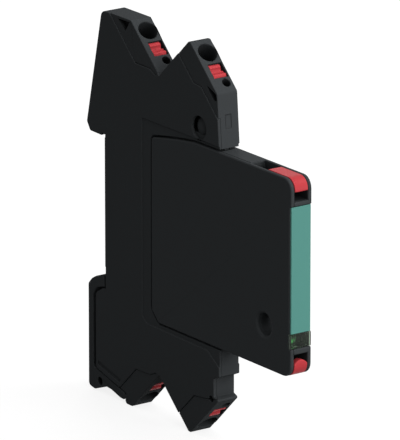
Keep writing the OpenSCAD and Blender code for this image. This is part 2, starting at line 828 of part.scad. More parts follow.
module module_case() color(black) {
    difference() {
        union() {
            slab(module_in_x, module_half_w)
                module_outline();
            slab(-module_in_x, module_in_x + weld)
                difference() {
                    module_outline();
                    difference() {
                        module_hollow();
                        for (side = [1, -1])
                            pocket_wall(side);
                    }
                }
            for (p = board_posts)
                cross_cylinder(p, 1.2, board_t / 2, module_in_x + weld);
            cross_cylinder([side_hole_f, -side_hole_z], side_hole_r + 0.8, -module_in_x, module_in_x + weld);
        }
        slab(-module_half_w - 1, pocket_x)
            for (side = [1, -1])
                lever_pocket(side);
        for (side = [1, -1])
            cross_cylinder(edge_point(side, pivot_from_front, pivot_d), pivot_r + running_gap,
                0, pivot_end_x + seat_gap);
        cross_cylinder([side_hole_f, -side_hole_z], side_hole_r, -through, through);
        case_front_cuts();
        guide_grooves();
        for (z = concat(blade_zs, [earth_z]))
            slab(-blade_w / 2 - running_gap, blade_w / 2 + running_gap)
                translate([module_rear_f - 1, z - blade_t / 2 - running_gap])
                    square([module_rim_t + 2, blade_t + 2 * running_gap]);
    }
}

// Seats for the label and the window, shared by both halves of the module
module case_front_cuts() {
    slab(-half_w - 1, half_w + 1) {
        translate([label_seat_f, label_low_z - seat_gap])
            square([2, label_h + seat_gap + running_gap]);
        translate([module_front_f - window_lip_d - running_gap, window_z - window_h / 2 - running_gap])
            square([window_d + 2, window_h + 2 * running_gap]);
    }
    slab(-window_body_x - running_gap, window_body_x + running_gap)
        translate([module_front_f - window_d - running_gap, window_z - window_h / 2 - running_gap])
            square([window_d + 2, window_h + 2 * running_gap]);
}

module guide_grooves() {
    slab(-tongue_x - slide_gap, tongue_x + slide_gap) {
        translate([module_rear_f - 1, module_top_z - guide_depth])
            square([front_f - module_rear_f + 0.3, guide_depth + 1]);
        translate([module_rear_f - 1, -module_bottom_z - 1])
            square([front_f - module_rear_f + 0.3, guide_depth + 1]);
    }
}

module module_cover() color(black) {
    difference() {
        union() {
            slab(-module_half_w, -module_in_x)
                module_outline();
            slab(-cheek_x - weld, -pocket_x)
                intersection() {
                    module_outline();
                    union() {
                        for (side = [1, -1])
                            lever_pocket(side);
                    }
                }
        }
        for (side = [1, -1])
            cross_cylinder(edge_point(side, pivot_from_front, pivot_d), pivot_r + running_gap,
                -pivot_end_x - seat_gap, 0);
        cross_cylinder([side_hole_f, -side_hole_z], side_hole_r, -through, 0);
        translate([-module_half_w - 0.01, -side_hole_f, -side_hole_z])
            rotate([0, 90, 0])
                cylinder(r1 = side_hole_r + 0.5, r2 = side_hole_r, h = 0.5);
        case_front_cuts();
    }
}

// Circuit board with clearance round the lever pockets and the round hole
module circuit_board() color("#2f6b3f") {
    slab(-board_t / 2, board_t / 2)
        difference() {
            polygon([
                [board_rear_f, board_top_z - 3.2], [board_rear_f + 9, board_top_z],
                [module_front_f - pocket_len - 1.4, board_top_z],
                [module_front_f - pocket_len - 1.4, module_top_z - pocket_d - 1.3],
                [board_front_f, module_top_z - pocket_d - 1.3],
                [board_front_f, pocket_d + 1.3 - module_bottom_z],
                [module_front_f - pocket_len - 1.4, pocket_d + 1.3 - module_bottom_z],
                [module_front_f - pocket_len - 1.4, -board_bottom_z],
                [board_rear_f + 3, -board_bottom_z], [board_rear_f, 4 - board_bottom_z]
            ]);
            translate([side_hole_f, -side_hole_z])
                circle(r = side_hole_r + 1.2);
            translate([tube_f - tube_r - seat_gap, -tube_len / 2 - 0.02])
                square([2 * (tube_r + seat_gap), tube_len + 0.04]);
        }
}

// Three-electrode gas discharge tube lying in a cut-out of the board
tube_r = 1.9;
tube_len = 8;
tube_f = board_rear_f + 11;
module gas_tube() color("#d9d4c6") {
    translate([0, -tube_f, -tube_len / 2])
        rotate_extrude()
            polygon([
                [0, 0], [tube_r, 0], [tube_r, 0.9], [tube_r - 0.2, 0.9], [tube_r - 0.2, 3.5],
                [tube_r, 3.5], [tube_r, 4.5], [tube_r - 0.2, 4.5], [tube_r - 0.2, tube_len - 0.9],
                [tube_r, tube_len - 0.9], [tube_r, tube_len], [0, tube_len]
            ]);
}

diode_z = 7;
diode_f = board_rear_f + 21;
diode_len = 5;
diode_w = 3.2;
lead_len = 0.8;
module suppressor_diode(z) color("#3a3a3c") {
    slab(-board_t / 2 - 1.4, -board_t / 2 - 0.15)
        translate([diode_f, z - diode_w / 2])
            square([diode_len, diode_w]);
    slab(-board_t / 2 - 0.4, -board_t / 2)
        translate([diode_f - lead_len, z - 0.9])
            square([diode_len + 2 * lead_len, 1.8]);
}

resistor_z = 10;
resistor_f = board_rear_f + 32;
resistor_w = 2.4;
module decoupling_resistor(z) color("#4a4d52") {
    slab(-board_t / 2 - 1, -board_t / 2)
        translate([resistor_f, z - resistor_w / 2])
            square([2 * resistor_w, resistor_w]);
}

module contact_blade(z) color(copper) {
    translate([-blade_w / 2, -board_rear_f, z - blade_t / 2])
        cube([blade_w, board_rear_f - blade_tip_f - 0.8, blade_t]);
    translate([-blade_w / 2 + 0.3, -blade_tip_f - 1, z - blade_t / 2 + 0.15])
        cube([blade_w - 0.6, 1, blade_t - 0.3]);
    translate([-blade_w / 2 - 0.4, -board_rear_f, z - blade_t / 2])
        cube([blade_w + 0.8, board_rear_f - module_rear_f - module_rim_t - seat_gap, blade_t]);
}

module status_leds() color("#3fae57") {
    for (k = [-1, 1])
        slab(-board_t / 2 - 1, -board_t / 2)
            translate([board_front_f - 1.2, window_z + 0.8 * k - 0.45])
                square([1.4, 0.9]);
}

module status_window() color("#6f7d78", 0.6) {
    window_low_z = window_z - window_h / 2;
    window_high_z = window_z + window_h / 2;
    front = module_front_f - seat_gap;
    slab(-module_half_w, module_half_w)
        polygon(rounded([
            [module_front_f - window_lip_d, window_high_z, 0], [front, window_high_z, 0.3],
            [front, window_low_z, 0.3], [module_front_f - window_lip_d, window_low_z, 0]
        ]));
    slab(-window_body_x, window_body_x)
        for (z = [window_low_z, window_high_z - 0.8])
            translate([module_front_f - window_d, z])
                square([window_d - window_lip_d + weld, 0.8]);
}

module label_strip() color(teal) {
    translate([-label_w / 2, -label_seat_f - label_t, label_low_z])
        cube([label_w, label_t, label_h]);
}

// L-shaped lever that follows the module's front corner
module release_lever(side) color(red) {
    slab(-lever_w / 2, lever_w / 2) {
        polygon(edge_rounded(side, [
            [lever_len, 1.6, 0.3], [lever_len - 0.6, 0, 0.4], [0, 0, lever_corner_r],
            [0, lever_nose, 0.3], [lever_front_t, lever_nose, 0.2], [lever_front_t, lever_t, 0.3],
            [lever_len, lever_t, 0.3]
        ]));
        translate(edge_point(side, pivot_from_front, pivot_d))
            circle(r = boss_r);
    }
    cross_cylinder(edge_point(side, pivot_from_front, pivot_d), pivot_r, -pivot_end_x, pivot_end_x);
}

base_housing();
base_cover();
rail_latch();
earth_contact();
current_bar(TOP_REAR);  // current_bar_top_rear
current_bar(TOP_FRONT);  // current_bar_top_front
current_bar(BOTTOM_REAR);  // current_bar_bottom_rear
current_bar(BOTTOM_FRONT);  // current_bar_bottom_front
clamp_spring(TOP_REAR);  // clamp_spring_top_rear
clamp_spring(TOP_FRONT);  // clamp_spring_top_front
clamp_spring(BOTTOM_REAR);  // clamp_spring_bottom_rear
clamp_spring(BOTTOM_FRONT);  // clamp_spring_bottom_front
pusher(TOP_REAR);  // pusher_top_rear
pusher(TOP_FRONT);  // pusher_top_front
pusher(BOTTOM_REAR);  // pusher_bottom_rear
pusher(BOTTOM_FRONT);  // pusher_bottom_front
module_case();
module_cover();
circuit_board();
gas_tube();
suppressor_diode(diode_z);  // suppressor_diode_1
suppressor_diode(-diode_z);  // suppressor_diode_2
decoupling_resistor(resistor_z);  // decoupling_resistor_1
decoupling_resistor(-resistor_z);  // decoupling_resistor_2
contact_blade(blade_zs[0]);  // contact_blade_1
contact_blade(blade_zs[1]);  // contact_blade_2
contact_blade(blade_zs[2]);  // contact_blade_3
contact_blade(blade_zs[3]);  // contact_blade_4
contact_blade(earth_z);  // earth_blade
status_leds();
status_window();
label_strip();
release_lever(1);  // release_lever_top
release_lever(-1);  // release_lever_bottom
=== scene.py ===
"""Looks of a slim rail-mounted surge protector: moulded shells, contacts, board and studio stage."""

import json
import math

import bmesh
import bpy
from mathutils import Matrix, Vector

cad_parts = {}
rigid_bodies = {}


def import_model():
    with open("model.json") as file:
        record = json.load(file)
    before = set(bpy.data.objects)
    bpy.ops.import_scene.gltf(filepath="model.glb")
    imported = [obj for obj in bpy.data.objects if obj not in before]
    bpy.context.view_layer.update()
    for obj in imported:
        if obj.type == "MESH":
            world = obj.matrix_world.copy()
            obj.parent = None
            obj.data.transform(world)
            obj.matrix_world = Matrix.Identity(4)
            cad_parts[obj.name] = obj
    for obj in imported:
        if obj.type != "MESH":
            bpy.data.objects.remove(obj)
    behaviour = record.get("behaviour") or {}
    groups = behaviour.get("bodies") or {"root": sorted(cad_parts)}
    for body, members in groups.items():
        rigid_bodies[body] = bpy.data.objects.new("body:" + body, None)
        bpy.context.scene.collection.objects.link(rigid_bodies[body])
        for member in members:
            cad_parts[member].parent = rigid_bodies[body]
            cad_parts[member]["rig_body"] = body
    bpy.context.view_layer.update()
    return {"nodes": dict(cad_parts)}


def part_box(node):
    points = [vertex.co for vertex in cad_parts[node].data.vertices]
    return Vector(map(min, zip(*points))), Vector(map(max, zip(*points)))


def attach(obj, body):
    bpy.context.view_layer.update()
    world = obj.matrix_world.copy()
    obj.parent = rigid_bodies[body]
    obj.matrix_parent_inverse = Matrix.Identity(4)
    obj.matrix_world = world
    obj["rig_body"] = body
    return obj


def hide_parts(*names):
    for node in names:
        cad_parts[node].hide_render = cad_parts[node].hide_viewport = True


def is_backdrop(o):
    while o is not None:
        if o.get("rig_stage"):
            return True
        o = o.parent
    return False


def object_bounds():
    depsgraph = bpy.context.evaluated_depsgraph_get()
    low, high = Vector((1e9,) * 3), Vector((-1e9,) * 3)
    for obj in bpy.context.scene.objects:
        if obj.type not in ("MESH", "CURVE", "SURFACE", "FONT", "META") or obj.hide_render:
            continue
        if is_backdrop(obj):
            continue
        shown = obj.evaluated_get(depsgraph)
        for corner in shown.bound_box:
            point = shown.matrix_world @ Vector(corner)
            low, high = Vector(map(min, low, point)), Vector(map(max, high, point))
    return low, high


bl_info = {
    "name": "Surge Protection Barrier",
    "version": (1, 0, 0),
    "blender": (4, 5, 0),
    "location": "View3D > Sidebar > Surge Barrier",
    "description": "Moulded shells, contacts, circuit board and stage of a slim surge protector",
    "category": "Add Mesh",
}

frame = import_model()

MM = 0.001
TERMINAL_NAMES = ("top_rear", "top_front", "bottom_rear", "bottom_front")

# Joining a CAD node's loose triangles into faces, and shading and rounding them
JOIN_DISTANCE = 0.002 * MM
FLAT_ANGLE = math.radians(1)
SMOOTH_ANGLE = math.radians(30)
EDGE_ANGLE = math.radians(40)

# The lower lever's nose in the CAD: its thickness, its height, and the small rounds at its end
LEVER_NOSE_T = 1.8 * MM
LEVER_NOSE_H = 3.3 * MM
NOSE_ROUND = 0.35 * MM
NOSE_CUTS = (-0.8, -0.6, -0.4, -0.2, 0, 0.2, 0.4, 0.6, 0.8)

# Painted shade in bores and pockets: how far apart their walls may be and still darken the base colour, and
# by what share
PAINTED_SHADE_REACH = 5 * MM
PAINTED_SHADE_SHARE = 0.8

# Colours of the small parts inside
CERAMIC = (0.7, 0.68, 0.62)
COMPONENT_BLACK = (0.02, 0.02, 0.022)
SOLDER = (0.75, 0.76, 0.77)

# The rows of solder joints, by their distance from the board's rear edge, and a joint's tip by its foot
SOLDER_ROWS = {"rear": 3 * MM, "middle": 17.5 * MM}
TIP_SHARE = 0.35

# Each lamp's place from the middle of the part and the width of its square, in metres
LAMPS = {
    "key": ((-0.05, -0.75, 0.26), 0.5),
    "low": ((0.26, -0.75, 0.08), 0.3),
    "side": ((0.5, -0.35, 0.55), 0.4),
    "top": ((0.05, -0.2, 0.8), 0.5),
    "back": ((0.45, 0.62, 0.25), 0.4),
}
FLOOR_REACH = 6.0
FLOOR_SEEN = (0.85, 0.85, 0.85)
WHITE = (1, 1, 1, 1)

# The photograph: its size, and the pixel where the near edge of the rail's centre line lies
IMAGE_W = 400
IMAGE_H = 440
ANCHOR_PX = (104.7, 202.6)
ANCHOR = Vector((-3.1 * MM, 0, 0))
SENSOR_W = 36


# Sizes and colours that a user would change

class ShellSettings(bpy.types.PropertyGroup):
    edge_r: bpy.props.FloatProperty(
        name="Edge radius", description="Rounding of the moulded edges of the base",
        default=0.14 * MM, min=0.02 * MM, max=0.3 * MM, precision=5, subtype="DISTANCE", unit="LENGTH")
    module_edge_r: bpy.props.FloatProperty(
        name="Module edge radius", description="Rounding of the moulded edges of the module",
        default=0.3 * MM, min=0.02 * MM, max=0.4 * MM, precision=5, subtype="DISTANCE", unit="LENGTH")
    small_edge_r: bpy.props.FloatProperty(
        name="Small edge radius", description="Rounding of the edges of the pushers, levers and window",
        default=0.09 * MM, min=0.02 * MM, max=0.2 * MM, precision=5, subtype="DISTANCE", unit="LENGTH")
    nose_dome: bpy.props.FloatProperty(
        name="Nose dome", description="Height of the domed top of the lower release lever's nose",
        default=0.95 * MM, min=0, max=1.4 * MM, precision=5, subtype="DISTANCE", unit="LENGTH")
    base_color: bpy.props.FloatVectorProperty(
        name="Base plastic", description="Colour of the base's black plastic",
        default=(0.033, 0.036, 0.038), size=3, min=0, max=1, subtype="COLOR")
    module_color: bpy.props.FloatVectorProperty(
        name="Module plastic", description="Colour of the plug-in module's black plastic",
        default=(0.032, 0.035, 0.037), size=3, min=0, max=1, subtype="COLOR")
    red_color: bpy.props.FloatVectorProperty(
        name="Red plastic", description="Colour of the pushers and the release levers",
        default=(0.35, 0.032, 0.038), size=3, min=0, max=1, subtype="COLOR")
    grain_size: bpy.props.FloatProperty(
        name="Grain size", description="Size of the fine grain of the moulded plastic",
        default=0.25 * MM, min=0.05 * MM, max=1 * MM, precision=5, subtype="DISTANCE", unit="LENGTH")


class FrontSettings(bpy.types.PropertyGroup):
    label_color: bpy.props.FloatVectorProperty(
        name="Label stock", description="Colour of the bare label strip",
        default=(0.046, 0.173, 0.147), size=3, min=0, max=1, subtype="COLOR")
    window_color: bpy.props.FloatVectorProperty(
        name="Window tint", description="Tint of the smoky status window",
        default=(0.3, 0.38, 0.3), size=3, min=0, max=1, subtype="COLOR")
    led_color: bpy.props.FloatVectorProperty(
        name="Status green", description="Colour of the green parts behind the window",
        default=(0.08, 0.5, 0.13), size=3, min=0, max=1, subtype="COLOR")


class MetalSettings(bpy.types.PropertyGroup):
    contact_color: bpy.props.FloatVectorProperty(
        name="Contact metal", description="Colour of the tinned brass contacts",
        default=(0.72, 0.66, 0.55), size=3, min=0, max=1, subtype="COLOR")
    spring_color: bpy.props.FloatVectorProperty(
        name="Spring steel", description="Colour of the clamp springs",
        default=(0.6, 0.61, 0.62), size=3, min=0, max=1, subtype="COLOR")


class BoardSettings(bpy.types.PropertyGroup):
    board_color: bpy.props.FloatVectorProperty(
        name="Board green", description="Colour of the circuit board's lacquer",
        default=(0.03, 0.16, 0.06), size=3, min=0, max=1, subtype="COLOR")
    joint_r: bpy.props.FloatProperty(
        name="Solder joint radius", description="Radius of a solder joint's foot on the board",
        default=0.45 * MM, min=0.2 * MM, max=0.8 * MM, precision=5, subtype="DISTANCE", unit="LENGTH")
    joint_h: bpy.props.FloatProperty(
        name="Solder joint height", description="Height of a solder joint above the board",
        default=0.5 * MM, min=0.2 * MM, max=1 * MM, precision=5, subtype="DISTANCE", unit="LENGTH")
    joint_count: bpy.props.IntProperty(
        name="Solder joints in a row", description="Number of solder joints in each row",
        default=9, min=2, max=16)
    row_pitch: bpy.props.FloatProperty(
        name="Solder joint pitch", description="Distance between two solder joints of a row",
        default=2.54 * MM, min=1 * MM, max=5 * MM, precision=5, subtype="DISTANCE", unit="LENGTH")


class StageSettings(bpy.types.PropertyGroup):
    azimuth: bpy.props.FloatProperty(
        name="Azimuth", description="Camera angle round the part, from straight in front",
        default=math.radians(-35.7), subtype="ANGLE", unit="ROTATION")
    elevation: bpy.props.FloatProperty(
        name="Elevation", description="Camera angle above the horizon",
        default=math.radians(16.8), subtype="ANGLE", unit="ROTATION")
    distance: bpy.props.FloatProperty(
        name="Distance", description="Distance from the camera to the rail's centre line",
        default=1.7218, min=0.2, max=5, subtype="DISTANCE", unit="LENGTH")
    focal_px: bpy.props.FloatProperty(
        name="Focal length in pixels", description="Focal length of the photograph's lens in its own pixels",
        default=7000, min=500, max=20000)
    floor_color: bpy.props.FloatVectorProperty(
        name="Floor", description="Colour of the pale floor",
        default=(0.15, 0.15, 0.15), size=3, min=0, max=1, subtype="COLOR")
    key_power: bpy.props.FloatProperty(
        name="Key light", description="Power of the large lamp in front and above",
        default=3.3, min=0, max=50, unit="POWER")
    low_power: bpy.props.FloatProperty(
        name="Low light", description="Power of the small lamp in front, low and to the right",
        default=3, min=0, max=50, unit="POWER")
    side_power: bpy.props.FloatProperty(
        name="Side light", description="Power of the lamp above and to the right",
        default=2.6, min=0, max=50, unit="POWER")
    top_power: bpy.props.FloatProperty(
        name="Top light", description="Power of the large lamp above", default=3, min=0, max=50, unit="POWER")
    back_power: bpy.props.FloatProperty(
        name="Back light", description="Power of the large lamp behind and to the right",
        default=3, min=0, max=50, unit="POWER")
    world_level: bpy.props.FloatProperty(
        name="Room light", description="Level of the even light from all round", default=0.42, min=0, max=2)


# Node materials

def new_material(name):
    """An empty node material with its nodes and links."""
    material = bpy.data.materials.new(name)
    material.use_nodes = True
    return material, material.node_tree.nodes, material.node_tree.links


def object_noise(nodes, links, scale, detail):
    """Noise on Object coordinates; scale is in cycles per metre."""
    coordinates = nodes.new("ShaderNodeTexCoord")
    texture = nodes.new("ShaderNodeTexNoise")
    texture.inputs["Scale"].default_value = scale
    texture.inputs["Detail"].default_value = detail
    links.new(coordinates.outputs["Object"], texture.inputs["Vector"])
    return texture


def varied_color(nodes, links, shader, texture, color, spread):
    """Base colour that wanders by a small share round the written one."""
    blend = nodes.new("ShaderNodeMix")
    blend.data_type = "RGBA"
    blend.inputs["A"].default_value = (*[c * (1 - spread) for c in color], 1)
    blend.inputs["B"].default_value = (*[min(c * (1 + spread), 1) for c in color], 1)
    links.new(texture.outputs[0], blend.inputs["Factor"])
    links.new(blend.outputs["Result"], shader.inputs["Base Color"])
    return blend.outputs["Result"]


def painted_recess_shade(nodes, links, shader, color):
    """Painted shade: an ambient occlusion node darkens the base colour in a piece's bores and pockets, so
    they read darker than its open faces at any pose.
    """
    shade = nodes.new("ShaderNodeAmbientOcclusion")
    shade.samples = 8
    shade.only_local = True
    shade.inputs["Distance"].default_value = PAINTED_SHADE_REACH
    links.new(color, shade.inputs["Color"])
    depth = nodes.new("ShaderNodeMix")
    depth.data_type = "RGBA"
    depth.inputs["Factor"].default_value = PAINTED_SHADE_SHARE
    links.new(color, depth.inputs["A"])
    links.new(shade.outputs["Color"], depth.inputs["B"])
    links.new(depth.outputs["Result"], shader.inputs["Base Color"])


def grain_bump(nodes, links, shader, texture, height, strength):
    """Fine relief of the moulded surface."""
    bump = nodes.new("ShaderNodeBump")
    bump.inputs["Distance"].default_value = height
    bump.inputs["Strength"].default_value = strength
    links.new(texture.outputs[0], bump.inputs["Height"])
    links.new(bump.outputs["Normal"], shader.inputs["Normal"])


def moulded_plastic(name, color, roughness, specular, grain, spread=0.06):
    """Satin injection-moulded plastic with a fine spark-eroded grain, and painted shade in its bores and
    pockets.
    """
    material, nodes, links = new_material(name)
    shader = nodes["Principled BSDF"]
    shader.inputs["Roughness"].default_value = roughness
    shader.inputs["Specular IOR Level"].default_value = specular
    texture = object_noise(nodes, links, scale=1 / grain, detail=3)
    mottled = varied_color(nodes, links, shader, texture, color, spread)
    # Painted shade: bores and pockets get a darker base colour from ambient occlusion
    painted_recess_shade(nodes, links, shader, mottled)
    grain_bump(nodes, links, shader, texture, height=0.01 * MM, strength=0.25)
    return material


def rolled_metal(name, color, roughness):
    """Stamped strip with faint rolling marks along its length."""
    material, nodes, links = new_material(name)
    shader = nodes["Principled BSDF"]
    shader.inputs["Metallic"].default_value = 1
    coordinates = nodes.new("ShaderNodeTexCoord")
    stretch = nodes.new("ShaderNodeMapping")
    # Cycles per metre across the strip and along it
    stretch.inputs["Scale"].default_value = (4000, 4000, 300)
    texture = nodes.new("ShaderNodeTexNoise")
    texture.inputs["Scale"].default_value = 1
    links.new(coordinates.outputs["Object"], stretch.inputs["Vector"])
    links.new(stretch.outputs["Vector"], texture.inputs["Vector"])
    varied_color(nodes, links, shader, texture, color, spread=0.08)
    polish = nodes.new("ShaderNodeMapRange")
    polish.inputs["To Min"].default_value = roughness - 0.06
    polish.inputs["To Max"].default_value = roughness + 0.08
    links.new(texture.outputs[0], polish.inputs["Value"])
    links.new(polish.outputs["Result"], shader.inputs["Roughness"])
    return material


def label_stock(name, color):
    """Plain label card with a very fine fibre."""
    material, nodes, links = new_material(name)
    shader = nodes["Principled BSDF"]
    shader.inputs["Roughness"].default_value = 0.55
    shader.inputs["Specular IOR Level"].default_value = 0.3
    texture = object_noise(nodes, links, scale=6000, detail=4)
    varied_color(nodes, links, shader, texture, color, spread=0.04)
    return material


def smoky_plastic(name, color):
    """Clear tinted plastic."""
    material, nodes, links = new_material(name)
    shader = nodes["Principled BSDF"]
    shader.inputs["Roughness"].default_value = 0.08
    shader.inputs["IOR"].default_value = 1.2
    shader.inputs["Specular IOR Level"].default_value = 0.03
    shader.inputs["Transmission Weight"].default_value = 0.97
    texture = object_noise(nodes, links, scale=400, detail=2)
    varied_color(nodes, links, shader, texture, color, spread=0.05)
    return material


def glossy_resin(name, color, roughness, painted_glow=0.0):
    """Cast or dipped part body; a glow above 0 is painted light, an emission that makes a lens read as lit
    from behind.
    """
    material, nodes, links = new_material(name)
    shader = nodes["Principled BSDF"]
    shader.inputs["Roughness"].default_value = roughness
    shader.inputs["Emission Color"].default_value = (*color, 1)
    shader.inputs["Emission Strength"].default_value = painted_glow
    texture = object_noise(nodes, links, scale=1500, detail=2)
    varied_color(nodes, links, shader, texture, color, spread=0.08)
    return material


def lacquered_board(name, color):
    """Solder mask over copper tracks: bricks of a slightly lighter green."""
    material, nodes, links = new_material(name)
    shader = nodes["Principled BSDF"]
    shader.inputs["Roughness"].default_value = 0.35
    coordinates = nodes.new("ShaderNodeTexCoord")
    turned = nodes.new("ShaderNodeMapping")
    turned.inputs["Rotation"].default_value = (0, math.radians(90), 0)
    tracks = nodes.new("ShaderNodeTexBrick")
    tracks.inputs["Scale"].default_value = 90
    tracks.inputs["Mortar Size"].default_value = 0.03
    tracks.inputs["Color1"].default_value = (*color, 1)
    tracks.inputs["Color2"].default_value = (*[c * 1.15 for c in color], 1)
    tracks.inputs["Mortar"].default_value = (*[min(c * 1.9, 1) for c in color], 1)
    links.new(coordinates.outputs["Object"], turned.inputs["Vector"])
    links.new(turned.outputs["Vector"], tracks.inputs["Vector"])
    links.new(tracks.outputs["Color"], shader.inputs["Base Color"])
    return material


def stage_material(name, color, seen_color):
    """Pale floor that the camera and reflections see as white, with the part's shadow kept on it."""
    material, nodes, links = new_material(name)
    shader = nodes["Principled BSDF"]
    shader.inputs["Base Color"].default_value = (*color, 1)
    shader.inputs["Roughness"].default_value = 1
    shader.inputs["Specular IOR Level"].default_value = 0
    output = nodes["Material Output"]
    white = nodes.new("ShaderNodeEmission")
    white.inputs["Color"].default_value = (*seen_color, 1)
    links.new(seen_ray(nodes, links), white.inputs["Strength"])
    both = nodes.new("ShaderNodeAddShader")
    links.new(shader.outputs["BSDF"], both.inputs[0])
    links.new(white.outputs["Emission"], both.inputs[1])
    links.new(both.outputs["Shader"], output.inputs["Surface"])
    return material


def seen_ray(nodes, links):
    """1 for camera, glossy and transmission rays, otherwise 0."""
    path = nodes.new("ShaderNodeLightPath")
    first = nodes.new("ShaderNodeMath")
    first.operation = "MAXIMUM"
    second = nodes.new("ShaderNodeMath")
    second.operation = "MAXIMUM"
    links.new(path.outputs["Is Camera Ray"], first.inputs[0])
    links.new(path.outputs["Is Glossy Ray"], first.inputs[1])
    links.new(first.outputs["Value"], second.inputs[0])
    links.new(path.outputs["Is Transmission Ray"], second.inputs[1])
    return second.outputs["Value"]


# Mesh helpers

def merged_copy(node, name):
    """A CAD node's mesh as a new object, with its loose triangles joined into clean faces."""
    source = frame["nodes"][node].data
    shape = bmesh.new()
    shape.from_mesh(source)
    bmesh.ops.remove_doubles(shape, verts=shape.verts, dist=JOIN_DISTANCE)
    bmesh.ops.dissolve_limit(
        shape, angle_limit=FLAT_ANGLE, use_dissolve_boundaries=False,
        verts=shape.verts, edges=shape.edges)
    mesh = bpy.data.meshes.new(name)
    shape.to_mesh(mesh)
    shape.free()
    piece = bpy.data.objects.new(name, mesh)
    bpy.context.scene.collection.objects.link(piece)
    return piece


def bake_modifiers(piece):
    """Replaces a piece's mesh by its evaluated one and removes the modifiers."""
    depsgraph = bpy.context.evaluated_depsgraph_get()
    mesh = bpy.data.meshes.new_from_object(piece.evaluated_get(depsgraph))
    piece.modifiers.clear()
    piece.data = mesh
    mesh.name = piece.name


def smooth_rounds(piece):
    """Smooth shading on rounds, with sharp edges kept sharp."""
    piece.data.shade_smooth()
    piece.data.set_sharp_from_angle(angle=SMOOTH_ANGLE)


def flatten_large_faces(piece):
    """Large faces keep their own flat shading and only the narrow rounds between them are smooth."""
    modifier = piece.modifiers.new("flat faces", "WEIGHTED_NORMAL")
    modifier.mode = "FACE_AREA"
    modifier.weight = 100
    modifier.keep_sharp = True
    bake_modifiers(piece)


def dome_nose(piece, dome):
    """Raises the flat top of a lower lever's nose into a dome across its width."""
    shape = bmesh.new()
    shape.from_mesh(piece.data)
    front = min(vertex.co.y for vertex in shape.verts)
    foot = min(vertex.co.z for vertex in shape.verts)
    behind = front + LEVER_NOSE_T + 0.01 * MM
    under = foot + LEVER_NOSE_H - NOSE_ROUND
    half = max(vertex.co.x for vertex in shape.verts if vertex.co.y < behind)
    for share in NOSE_CUTS:
        bmesh.ops.bisect_plane(
            shape, geom=[*shape.verts, *shape.edges, *shape.faces], dist=JOIN_DISTANCE / 2,
            plane_co=(share * half, 0, 0), plane_no=(1, 0, 0))
    for vertex in shape.verts:
        if vertex.co.y < behind and vertex.co.z > under:
            vertex.co.z += dome * (1 - (vertex.co.x / half) ** 2)
    shape.to_mesh(piece.data)
    shape.free()


def rounded_shell(node, name, width, material, dome=0.0):
    """A CAD node's copy with softly rounded edges, which stands for the node."""
    piece = merged_copy(node, name)
    if dome:
        dome_nose(piece, dome)
    smooth_rounds(piece)
    bevel = piece.modifiers.new("edges", "BEVEL")
    bevel.width = width
    bevel.segments = 2
    bevel.limit_method = "ANGLE"
    bevel.angle_limit = EDGE_ANGLE
    bevel.use_clamp_overlap = False
    bake_modifiers(piece)
    flatten_large_faces(piece)
    piece.data.materials.clear()
    piece.data.materials.append(material)
    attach(piece, frame["nodes"][node]["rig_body"])
    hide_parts(node)


def paint_node(node, material):
    """Gives a CAD node that stays in view its material."""
    part = frame["nodes"][node]
    part.data.materials.clear()
    part.data.materials.append(material)


# One operator for each piece or group of like pieces

class SURGE_OT_base(bpy.types.Operator):
    """Adds the two moulded halves of the wiring base and its rail latch"""
    bl_idname = "surge.base"
    bl_label = "Base"

    def execute(self, context):
        look = context.scene.surge_shell
        plastic = moulded_plastic(
            "base_plastic", look.base_color, roughness=0.5, specular=0.002, grain=look.grain_size)
        for node in ("base_housing", "base_cover", "rail_latch"):
            rounded_shell(node, f"{node}_shell", look.edge_r, plastic)
        return {"FINISHED"}


class SURGE_OT_module(bpy.types.Operator):
    """Adds the two moulded halves of the plug-in module"""
    bl_idname = "surge.module"
    bl_label = "Module"

    def execute(self, context):
        look = context.scene.surge_shell
        plastic = moulded_plastic(
            "module_plastic", look.module_color, roughness=0.48, specular=0.006, grain=look.grain_size)
        for node in ("module_case", "module_cover"):
            rounded_shell(node, f"{node}_shell", look.module_edge_r, plastic)
        return {"FINISHED"}


class SURGE_OT_pushers(bpy.types.Operator):
    """Adds the four red release pushers and the two red release levers"""
    bl_idname = "surge.pushers"
    bl_label = "Pushers and Levers"

    def execute(self, context):
        look = context.scene.surge_shell
        edge = look.small_edge_r
        plastic = moulded_plastic(
            "red_plastic", look.red_color, roughness=0.35, specular=0.05, grain=look.grain_size, spread=0.03)
        for name in TERMINAL_NAMES:
            rounded_shell(f"pusher_{name}", f"red_pusher_{name}", edge, plastic)
        for name, dome in (("top", 0.0), ("bottom", look.nose_dome)):
            rounded_shell(f"release_lever_{name}", f"red_lever_{name}", edge, plastic, dome)
        return {"FINISHED"}


class SURGE_OT_front(bpy.types.Operator):
    """Adds the bare label strip, the smoky window and the green parts behind it"""
    bl_idname = "surge.front"
    bl_label = "Label and Window"

    def execute(self, context):
        look = context.scene.surge_front
        edge = context.scene.surge_shell.small_edge_r
        card = label_stock("label_stock", look.label_color)
        rounded_shell("label_strip", "bare_label", edge, card)
        clear = smoky_plastic("smoky_plastic", look.window_color)
        rounded_shell("status_window", "smoky_window", edge, clear)
        # Painted glow: the green parts behind the window are given an emission of their own
        paint_node("status_leds", glossy_resin("status_green", look.led_color, roughness=0.3, painted_glow=0.8))
        return {"FINISHED"}


class SURGE_OT_contacts(bpy.types.Operator):
    """Finishes the current bars, clamp springs, contact blades and earth contact"""
    bl_idname = "surge.contacts"
    bl_label = "Contacts"

    def execute(self, context):
        look = context.scene.surge_metal
        tinned = rolled_metal("tinned_brass", look.contact_color, roughness=0.32)
        steel = rolled_metal("spring_steel", look.spring_color, roughness=0.22)
        for node in sorted(frame["nodes"]):
            if node.startswith(("current_bar", "contact_blade", "earth")):
                paint_node(node, tinned)
            elif node.startswith("clamp_spring"):
                paint_node(node, steel)
        return {"FINISHED"}


